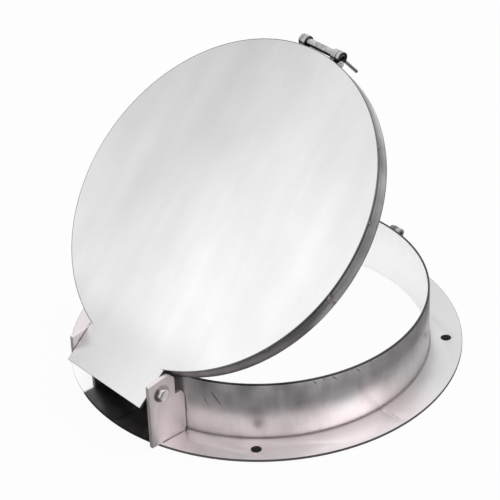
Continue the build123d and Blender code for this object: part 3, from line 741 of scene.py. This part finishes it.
easing = {  # how much is taken off the sharp edges of each node
    "flange_segments": 0.4 * mm, "neck_shell": 0.4 * mm, "right_ear": 0.5 * mm,
    "lid_plate": 0.3 * mm, "lid_skirt": 0.3 * mm, "hinge_washer": 0.3 * mm,
    "hook_lug": 0.5 * mm, "hook_pin": 0.3 * mm, "hook_pin_collar": 0.3 * mm,
    "swing_hook": 0.7 * mm, "seal_eye": 0.3 * mm, "hinge_tube": 0.4 * mm,
    "gasket_retainer": 0.3 * mm, "latch_boss_left": 0.5 * mm, "latch_boss_right": 0.5 * mm,
    "cam_bar": 0.3 * mm, "lever_hub": 0.5 * mm, "bar_collar": 0.4 * mm, "lid_gasket": 0.5 * mm,
    "hinge_bushes": 0.4 * mm, "hinge_bolt": 0.9 * mm, "hinge_nut": 0.5 * mm,
}
for node, width in easing.items():
    easedCopy(node, width)

lever = {"easing": 0.2 * mm, "from": 25 * mm, "longer": 5 * mm}


def lengthen(mesh):
    # the rod's outer end moved on, along the rod
    onward = lidTurn.to_3x3() @ Vector((0, 0, -1))
    for corner in mesh.verts:
        if (corner.co - camPoint).dot(onward) > lever["from"]:
            corner.co += onward * lever["longer"]


easedCopy("bar_lever", lever["easing"], lengthen)
print("edges broken:", len(easing) + 1)


def cornersAndEdges(mesh, points):
    # a closed outline
    corners = [mesh.verts.new(point) for point in points]
    return corners, [mesh.edges.new((corners[at - 1], corners[at])) for at in range(len(corners))]


def grownCorners(grown):
    return [each for each in grown["geom"] if isinstance(each, bmesh.types.BMVert)]


# the left ear's foot stops short of the flange's edge

leftEar = {
    "outline": [(-268, 4), (-240.5, 4), (-236, 8.5), (-236, 68), (-241, 77), (-252.5, 77),
                (-252.5, 106.5), (-262.5, 117), (-300.5, 111.5), (-300.5, 66), (-268, 60)],
    "holeRadius": 6.05 * mm,
    "holeSides": 48,
    "easing": 0.5 * mm,
}


def makeLeftEar():
    mesh = bmesh.new()
    turns = [2 * math.pi * at / leftEar["holeSides"] for at in range(leftEar["holeSides"])]
    hole = [(hingePoint.y + leftEar["holeRadius"] * math.cos(turn),
             hingePoint.z + leftEar["holeRadius"] * math.sin(turn)) for turn in turns]
    for outline in ([(y * mm, z * mm) for y, z in leftEar["outline"]], hole):
        cornersAndEdges(mesh, [(-sheet["earInside"], y, z) for y, z in outline])
    bmesh.ops.triangle_fill(mesh, edges=mesh.edges, use_beauty=True)
    moved = grownCorners(bmesh.ops.extrude_face_region(mesh, geom=mesh.faces))
    bmesh.ops.translate(mesh, verts=moved, vec=(sheet["earInside"] - sheet["earOutside"], 0, 0))
    bmesh.ops.recalc_face_normals(mesh, faces=mesh.faces)
    bmesh.ops.dissolve_limit(mesh, angle_limit=joining["flat"], verts=mesh.verts, edges=mesh.edges)
    breakEdges(mesh, leftEar["easing"])
    finishPiece("left_ear_plate", mesh, "base", "ear_plate", ["left_ear"])


makeLeftEar()


# weld beads

bead = {
    "pitch": 2.4 * mm, "stepsPerPitch": 5, "lag": 0.35,      # crescents along the bead
    "filletSides": 6, "sag": 0.86, "lift": 0.07,             # a fillet's hollow outline
    "fillet": 0.86, "ripple": 0.16, "unevenness": 0.06,      # shares of a fillet's leg
    "crownSides": 8, "crown": 0.62, "crownRipple": 0.38, "crownPitch": 1.1,
    "sway": 0.25 * mm, "swayScale": 120, "unevenScale": 300,
    "endHeight": 0.2,                                        # what is left at a bead's ends
}


def beadSteps(length):
    return int(length / bead["pitch"] * bead["stepsPerPitch"])


def rippled(along, across, pitch):
    # crescents left by the filler, from 0 to 1
    phase = along / pitch - bead["lag"] * math.sin(math.pi * across)
    return 0.5 + 0.5 * math.cos(2 * math.pi * phase)


def endTaper(along, length, leg):
    near = min(along, length - along)
    return math.sqrt(max(0.0, min(1.0, near / leg))) * (1 - bead["endHeight"]) + bead["endHeight"]


def filletOutline(leg):
    # corner, then a hollowed arc from the plate's foot to the wall's
    outline = [(0.0, 0.0)]
    for at in range(bead["filletSides"] + 1):
        turn = math.pi / 2 * (1 - at / bead["filletSides"])
        out, up = leg * math.cos(turn), leg * math.sin(turn)
        if 0 < at < bead["filletSides"]:
            out, up = (each * bead["sag"] + leg * bead["lift"] for each in (out, up))
        outline.append((out, up))
    return outline


def shapeFillet(out, up, leg, along, lengthwise=1.0):
    # a fillet's outline point after its ripple and end taper
    if math.hypot(out, up) < leg * 0.1:
        return out, up  # the corner itself
    across = math.atan2(up, out) / (math.pi / 2)
    ripple = rippled(along, across, bead["pitch"]) * math.sin(math.pi * across)
    uneven = noise.noise(Vector((along * bead["unevenScale"], across * 2, 3.0)))
    size = bead["fillet"] + bead["ripple"] * ripple + bead["unevenness"] * uneven
    size = min(size, 1.0) * lengthwise
    return out * size, up * size


def ringFillet(name, node, radius, base, leg):
    mesh = bmesh.new()
    corners, edges = cornersAndEdges(mesh, [(radius + out, 0, base + up) for out, up in filletOutline(leg)])
    bmesh.ops.spin(mesh, geom=corners + edges, cent=(0, 0, 0), axis=(0, 0, 1), dvec=(0, 0, 0),
                   angle=2 * math.pi, steps=beadSteps(2 * math.pi * radius), use_merge=True,
                   use_duplicate=False)
    for corner in mesh.verts:
        turn = math.atan2(corner.co.y, corner.co.x)
        out, up = shapeFillet(corner.co.xy.length - radius, corner.co.z - base, leg, turn * radius)
        corner.co = ((radius + out) * math.cos(turn), (radius + out) * math.sin(turn), base + up)
    finishPiece(name, mesh, nodes[node]["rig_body"], slotOf[node], [node], joining["sharpOnBead"])


def runOut(mesh, outline, length):
    # a closed outline in YZ drawn out along X, with its ends closed
    steps = beadSteps(length)
    corners, front = cornersAndEdges(mesh, [(0, out, up) for out, up in outline])
    mesh.faces.new(corners)
    for step in range(steps):
        grown = bmesh.ops.extrude_edge_only(mesh, edges=front)
        moved = grownCorners(grown)
        front = [each for each in grown["geom"] if isinstance(each, bmesh.types.BMEdge)
                 and each.verts[0] in moved and each.verts[1] in moved]
        bmesh.ops.translate(mesh, verts=moved, vec=(length / steps, 0, 0))
    bmesh.ops.edgenet_fill(mesh, edges=front)


def joinedRuns(runs, outline, shape):
    # one mesh of several beads; a run is its length and the matrix that puts it in place
    whole = bmesh.new()
    for length, place in runs:
        mesh = bmesh.new()
        runOut(mesh, outline, length)
        for corner in mesh.verts:
            corner.co = shape(*corner.co, length)
        bmesh.ops.transform(mesh, matrix=place, verts=mesh.verts)
        data = bpy.data.meshes.new("run")
        mesh.to_mesh(data)
        mesh.free()
        whole.from_mesh(data)
        bpy.data.meshes.remove(data)
    return whole


def straightFillets(name, node, leg, runs):
    # X along the bead, Y out over the plate, Z up the wall
    def shape(along, out, up, length):
        return (along, *shapeFillet(out, up, leg, along, endTaper(along, length, leg)))

    mesh = joinedRuns(runs, filletOutline(leg), shape)
    finishPiece(name, mesh, nodes[node]["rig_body"], slotOf[node], [node], joining["sharpOnBead"])


def buttBeads(name, body, seam, runs, replaced=()):
    # low crowned beads: X along, Y across, Z out of the sheet
    width = seam["width"]
    turns = [math.pi * at / bead["crownSides"] for at in range(bead["crownSides"] + 1)]
    outline = [(width / 2 * math.cos(turn), seam["crown"] * math.sin(turn)) for turn in turns]
    outline += [(-width / 2, -seam["sunk"]), (width / 2, -seam["sunk"])]

    def shape(along, side, up, length):
        taper = endTaper(along, length, width / 2)
        if up > 0:
            ripple = rippled(along, side / width + 0.5, bead["pitch"] * bead["crownPitch"])
            up = up * (bead["crown"] + bead["crownRipple"] * ripple) * taper
        sway = bead["sway"] * noise.noise(Vector((along * bead["swayScale"], 0, 7.0)))
        return along, side * (1 if up < 0 else taper) + sway, up

    mesh = joinedRuns(runs, outline, shape)
    finishPiece(name, mesh, body, "weld_metal", replaced, joining["sharpOnBead"])


def axes(origin, along, across, up):
    # matrix whose columns are the three directions
    columns = [Vector(along), Vector(across), Vector(up)]
    turn = Matrix([[column[row] for column in columns] for row in range(3)]).to_4x4()
    return Matrix.Translation(Vector(origin)) @ turn


def turnedBy(degrees):
    # round the neck's axis
    return Matrix.Rotation(math.radians(degrees), 4, "Z")


def upWall(seam, radius):
    # a run that climbs a round wall at the seam's bearing
    return (seam["length"], turnedBy(seam["angle"]) @ axes(
        (radius, 0, seam["start"]), (0, 0, 1), (0, 1, 0), (1, 0, 0)))


def neckDepth(x):
    # how far the neck's outside stands from the XZ plane
    return math.sqrt(sheet["neckRadius"] ** 2 - x ** 2)


foot = {"leg": 1.4 * mm}
ringFillet("foot_bead", "foot_weld", sheet["neckRadius"], sheet["flangeTop"], foot["leg"])

ear = {"leg": 1.4 * mm, "near": -242 * mm, "far": -282 * mm, "leftFar": -266 * mm,
       "sideFoot": 9.5 * mm, "sideTop": 65 * mm}


def earRuns():
    # inside and outside of each ear's foot, then up the neck beside it
    runs = []
    x, y = sheet["earOutside"], -neckDepth(sheet["earOutside"])
    for side, far in ((1, ear["far"]), (-1, ear["leftFar"])):
        for face, out in ((sheet["earOutside"], 1), (sheet["earInside"], -1)):
            runs.append((ear["near"] - far, axes(
                (side * face, ear["near"], sheet["flangeTop"]),
                (0, -1, 0), (side * out, 0, 0), (0, 0, 1))))
        runs.append((ear["sideTop"] - ear["sideFoot"], axes(
            (side * x, y, ear["sideFoot"]),
            (0, 0, 1), (side * -y / sheet["neckRadius"], x / sheet["neckRadius"], 0), (0, -1, 0))))
    return runs


straightFillets("ear_beads", "ear_welds", ear["leg"], earRuns())

lug = {"leg": 2.6 * mm, "left": 4.5 * mm, "right": 12.9 * mm, "foot": 45 * mm, "length": 22 * mm}
straightFillets("lug_beads", "hook_lug_weld", lug["leg"], [
    (lug["length"], axes((x, neckDepth(x), lug["foot"]), (0, 0, 1), (side, 0, 0), (0, 1, 0)))
    for x, side in ((lug["left"], -1), (lug["right"], 1))])

tube = {"leg": 4.4 * mm, "aside": 5.6 * mm, "half": sheet["earInside"] - 4 * mm}
straightFillets("tube_beads", "hinge_tube_welds", tube["leg"], [
    (2 * tube["half"], lidTurn @ axes(
        (-tube["half"], hingePoint.y + side * tube["aside"], sheet["lidUnderside"]),
        (1, 0, 0), (0, side, 0), (0, 0, -1)))
    for side in (-1, 1)])

flangeSeam = {"angles": (0, 90, 180, 270), "start": sheet["neckRadius"] + 4 * mm, "length": 45 * mm,
              "width": 5.4 * mm, "crown": 0.9 * mm, "sunk": 0.1 * mm}
buttBeads("flange_seam_beads", "base", flangeSeam, [
    (flangeSeam["length"],
     turnedBy(angle) @ Matrix.Translation((flangeSeam["start"], 0, sheet["flangeTop"])))
    for angle in flangeSeam["angles"]], ["flange_seam_welds"])

neckSeam = {"angle": sheet["neckSeam"], "start": sheet["flangeTop"] + 4 * mm, "length": 91 * mm,
            "width": 5.4 * mm, "crown": 0.9 * mm, "sunk": 0.15 * mm}
buttBeads("neck_seam_bead", "base", neckSeam, [upWall(neckSeam, sheet["neckRadius"])],
          ["neck_seam_weld"])

skirtSeam = {"angle": sheet["skirtSeam"], "start": sheet["skirtFoot"] + 1 * mm, "length": 22 * mm,
             "width": 4.6 * mm, "crown": 0.7 * mm, "sunk": 0.15 * mm}
seamLength, seamPlace = upWall(skirtSeam, sheet["skirtRadius"])
buttBeads("skirt_seam_bead", "lid", skirtSeam, [(seamLength, lidTurn @ seamPlace)])

tacks = {
    "skirt_tack_beads": {"count": sheet["tackCount"], "start": sheet["tackStart"],
                         "ring": sheet["skirtRadius"] - 0.3 * mm, "drop": 1.0 * mm, "radius": 2.3 * mm,
                         "replaced": ["skirt_tacks"]},
    "retainer_tack_beads": {"count": 24, "start": 5, "ring": 240.1 * mm, "drop": 0.9 * mm,
                            "radius": 1.9 * mm, "replaced": []},
}
tackForm = {"thick": 0.55, "tall": 0.8, "uneven": 0.25, "rough": 0.12 * mm}


def makeTacks(name, tack):
    # small domed blobs in a corner under the lid
    mesh = bmesh.new()
    for at in range(tack["count"]):
        wide = 1.0 + tackForm["uneven"] * noise.noise(Vector((at * 3.1, 0, 0)))
        place = (lidTurn @ turnedBy(tack["start"] + 360 / tack["count"] * at)
                 @ Matrix.Translation((tack["ring"], 0, sheet["lidUnderside"] - tack["drop"]))
                 @ Matrix.Diagonal((tackForm["thick"], wide, tackForm["tall"], 1)))
        blob = bmesh.ops.create_icosphere(mesh, subdivisions=3, radius=tack["radius"], matrix=place)
        for corner in blob["verts"]:
            corner.co += corner.co.normalized() * tackForm["rough"] * noise.noise(corner.co * 900)
    finishPiece(name, mesh, "lid", "weld_metal", tack["replaced"], joining["sharpOnBead"])


for name, tack in tacks.items():
    makeTacks(name, tack)
print("weld beads laid")


# light, floor and camera

studio = {
    "floorTone": (0.82, 0.82, 0.82, 1), "floorRough": 0.9, "floorWhite": 0.95, "floorSize": 40,
    "floorDrop": 0.3 * mm, "worldFill": 0.8,
    "card": 0.17, "cardInner": sheet["flangeRadius"] + 2 * mm, "cardOuter": 1.5, "cardSides": 96,
    "boltCircle": (sheet["neckRadius"] + sheet["flangeRadius"]) / 2,
    "holeShade": 0.02, "holeAngles": (45, 135, 225, 315), "holeRadius": 10 * mm,
    "holeDrop": 0.1 * mm, "holeSides": 24,
}


def whiteToEye(graph):
    # 1 for what the camera, reflections and glass see
    kinds = graph.add("ShaderNodeLightPath").socket.node.outputs
    camera, glossy, through = (Wire(graph, kinds[f"Is {kind} Ray"])
                               for kind in ("Camera", "Glossy", "Transmission"))
    return camera.math("MAXIMUM", glossy).math("MAXIMUM", through)


def glow(graph, level):
    return graph.add("ShaderNodeEmission", values={"Color": (level, level, level, 1), "Strength": 1.0})


def stagePiece(name, mesh, material):
    piece = linkedPiece(name, mesh, material)
    return piece


def makeFloor():
    finish = Finish("pale_floor")
    finish.set(Base_Color=studio["floorTone"], Roughness=studio["floorRough"])
    finish.show(finish.add("ShaderNodeMixShader", values={
        0: whiteToEye(finish) * studio["floorWhite"],
        1: Wire(finish, finish.shader.outputs[0]), 2: glow(finish, 1.0)}))
    mesh = bmesh.new()
    bmesh.ops.create_grid(mesh, x_segments=1, y_segments=1, size=studio["floorSize"])
    bmesh.ops.translate(mesh, verts=mesh.verts, vec=(0, 0, -studio["floorDrop"]))
    stagePiece("floor", mesh, finish.material)


def darkSurface(name, level):
    finish = Finish(name)
    finish.show(glow(finish, level))
    return finish.material


def makeDarkRing():
    # a dark ring on the floor that only reflections see
    mesh = bmesh.new()
    for radius in (studio["cardInner"], studio["cardOuter"]):
        bmesh.ops.create_circle(mesh, segments=studio["cardSides"], radius=radius)
    bmesh.ops.bridge_loops(mesh, edges=mesh.edges)
    ring = stagePiece("dark_ring", mesh, darkSurface("ring_shade", studio["card"]))
    ring.visible_camera = ring.visible_diffuse = ring.visible_shadow = False
    ring.visible_transmission = ring.visible_volume_scatter = False


def makeHoleShade():
    # painted shadow: dark discs on the floor under the bolt holes
    mesh = bmesh.new()
    for angle in studio["holeAngles"]:
        place = turnedBy(angle) @ Matrix.Translation((studio["boltCircle"], 0, -studio["holeDrop"]))
        bmesh.ops.create_circle(mesh, cap_ends=True, segments=studio["holeSides"],
                                radius=studio["holeRadius"], matrix=place)
    stagePiece("hole_shade", mesh, darkSurface("hole_dark", studio["holeShade"]))


def makeWorld():
    world = bpy.data.worlds.new("studio")
    bpy.context.scene.world = world
    world.use_nodes = True
    graph = Graph(world.node_tree)
    level = graph.add("ShaderNodeMapRange", values={0: whiteToEye(graph), 3: studio["worldFill"], 4: 1.0})
    back = world.node_tree.nodes["Background"]
    graph.feed(back.inputs["Color"], (1, 1, 1, 1))
    graph.feed(back.inputs["Strength"], level)


keyLamp = {"place": Vector((1.6, 1.2, 3.2)), "target": Vector((0, 0, 0.1)), "size": 2.4, "power": 18}


def makeKeyLamp():
    lamp = bpy.data.lights.new("key", "AREA")
    lamp.shape = "DISK"
    lamp.size = keyLamp["size"]
    lamp.energy = keyLamp["power"]
    piece = bpy.data.objects.new("key", lamp)
    bpy.context.scene.collection.objects.link(piece)
    piece.location = keyLamp["place"]
    piece.rotation_euler = (keyLamp["target"] - keyLamp["place"]).to_track_quat("-Z", "Y").to_euler()


view = {"azimuth": 49.593, "elevation": 33.475, "roll": -2.486, "lens": 162.93, "sensor": 36,
        "distance": 3.4177, "target": (-0.03472, 0.00512, 0.145), "clip": 200}


def makeCamera():
    azimuth, elevation, roll = (math.radians(view[key]) for key in ("azimuth", "elevation", "roll"))
    back = Vector((math.sin(azimuth) * math.cos(elevation),
                   -math.cos(azimuth) * math.cos(elevation), math.sin(elevation)))
    right = (-back).cross(Vector((0, 0, 1))).normalized()
    up = right.cross(-back)
    leaned = right * math.cos(roll) + up * math.sin(roll)
    raised = up * math.cos(roll) - right * math.sin(roll)
    camera = bpy.data.objects.new("camera", bpy.data.cameras.new("camera"))
    bpy.context.scene.collection.objects.link(camera)
    camera.matrix_world = axes(Vector(view["target"]) + back * view["distance"], leaned, raised, back)
    camera.data.lens = view["lens"]
    camera.data.sensor_width = view["sensor"]
    camera.data.clip_end = view["clip"]
    bpy.context.scene.camera = camera


makeFloor()
makeDarkRing()
makeHoleShade()
makeWorld()
makeKeyLamp()
makeCamera()
bpy.context.scene.view_settings.view_transform = "Standard"
print("studio ready")
